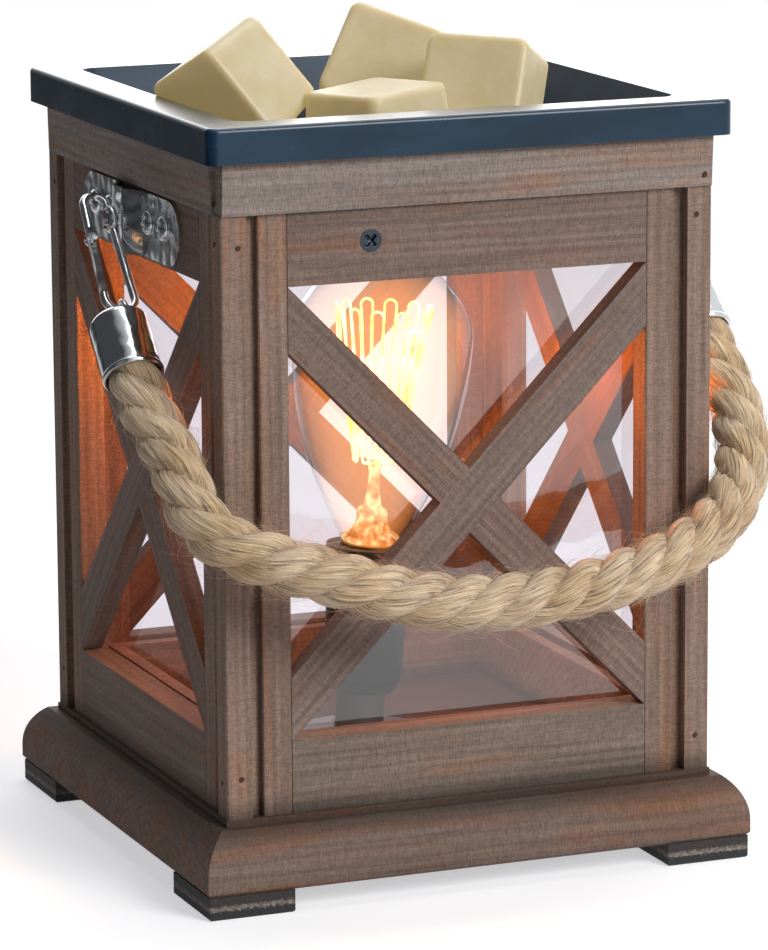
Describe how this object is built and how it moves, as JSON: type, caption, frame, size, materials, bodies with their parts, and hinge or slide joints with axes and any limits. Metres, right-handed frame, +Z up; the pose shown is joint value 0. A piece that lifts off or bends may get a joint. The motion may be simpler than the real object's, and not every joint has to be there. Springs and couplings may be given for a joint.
{
  "type": "candle warmer lamp",
  "caption": "Square wooden lantern warmer with X-braced glazed sides, a bulb inside, a metal wax dish on top and a rope bail handle on snap hooks.",
  "frame": {"origin": "on the floor under the middle of the base board", "axes": "+Z up, -Y towards the front where the handle rests, +X to the right"},
  "size_m": [0.1868, 0.1876, 0.2328],
  "materials": {
    "stained_wood": "walnut stain on open-grain wood, matte",
    "painted_feet": "black paint, matte",
    "dish_enamel": "dark blue-black baked enamel, semi-gloss",
    "wax": "cream soy wax, soft sheen",
    "window_glass": "clear, polished",
    "bulb_glass": "clear amber, polished",
    "filament": "glowing wire",
    "brass_cap": "satin",
    "black_plastic": "moulded, matte",
    "zinc_steel": "zinc plated",
    "chrome": "bright plated",
    "jute_rope": "three-strand laid jute, fibrous"
  },
  "bodies": {
    "lantern": {"base_board": "stained_wood", "feet": "painted_feet", "cord_gland": "black_plastic", "base_screws": "zinc_steel", "post_front_left": "stained_wood", "post_front_right": "stained_wood", "post_back_left": "stained_wood", "post_back_right": "stained_wood", "pane_stops": "stained_wood", "top_cleats": "stained_wood", "countersunk_screws": "zinc_steel", "socket_bracket": "zinc_steel", "lamp_socket": "black_plastic", "strap_screws": "zinc_steel", "left_eye_strap": "chrome", "right_eye_strap": "chrome", "front_top_rail": "stained_wood", "front_bottom_rail": "stained_wood", "front_stiles": "stained_wood", "front_long_brace": "stained_wood", "front_short_braces": "stained_wood", "front_glass": "window_glass", "front_apron": "stained_wood", "back_top_rail": "stained_wood", "back_bottom_rail": "stained_wood", "back_stiles": "stained_wood", "back_long_brace": "stained_wood", "back_short_braces": "stained_wood", "back_glass": "window_glass", "back_apron": "stained_wood", "left_top_rail": "stained_wood", "left_bottom_rail": "stained_wood", "left_stiles": "stained_wood", "left_long_brace": "stained_wood", "left_short_braces": "stained_wood", "left_glass": "window_glass", "left_apron": "stained_wood", "right_top_rail": "stained_wood", "right_bottom_rail": "stained_wood", "right_stiles": "stained_wood", "right_long_brace": "stained_wood", "right_short_braces": "stained_wood", "right_glass": "window_glass", "right_apron": "stained_wood"},
    "dish": {"wax_dish": "dish_enamel", "wax_melt_left": "wax", "wax_melt_back": "wax", "wax_melt_right": "wax", "wax_melt_front": "wax"},
    "bulb": {"bulb_cap": "brass_cap", "bulb_glass": "bulb_glass", "bulb_stem": "bulb_glass", "bulb_filament": "filament"},
    "handle": {"left_snap_hook": "chrome", "right_snap_hook": "chrome", "left_ferrule": "chrome", "right_ferrule": "chrome", "rope_handle": "jute_rope"},
    "left_gate": {"left_hook_gate": "chrome"},
    "right_gate": {"right_hook_gate": "chrome"}
  },
  "joints": [
    {"name": "dish_lift", "type": "slide", "parent": "lantern", "child": "dish", "axis": [0, 0, 1], "range_m": [0, 0.04]},
    {"name": "bulb_screw", "type": "hinge", "parent": "lantern", "child": "bulb", "pos_m": [-0.0052, 0, 0.0248], "axis": [0.0732, 0, 0.9973], "continuous": true},
    {"name": "handle_hinge", "type": "hinge", "parent": "lantern", "child": "handle", "pos_m": [0, 0, 0.179], "axis": [-1, 0, 0], "range_deg": [0, 267.2]},
    {"name": "left_gate_hinge", "type": "hinge", "parent": "handle", "child": "left_gate", "pos_m": [-0.08461, -0.00439, 0.17482], "axis": [0, -0.6896, 0.7242], "range_deg": [0, 15], "stiffness_Nm_per_rad": 0.002, "springref_deg": -5.73},
    {"name": "right_gate_hinge", "type": "hinge", "parent": "handle", "child": "right_gate", "pos_m": [0.08461, -0.00439, 0.17482], "axis": [0, 0.6896, -0.7242], "range_deg": [0, 15], "stiffness_Nm_per_rad": 0.002, "springref_deg": -5.73}
  ]
}
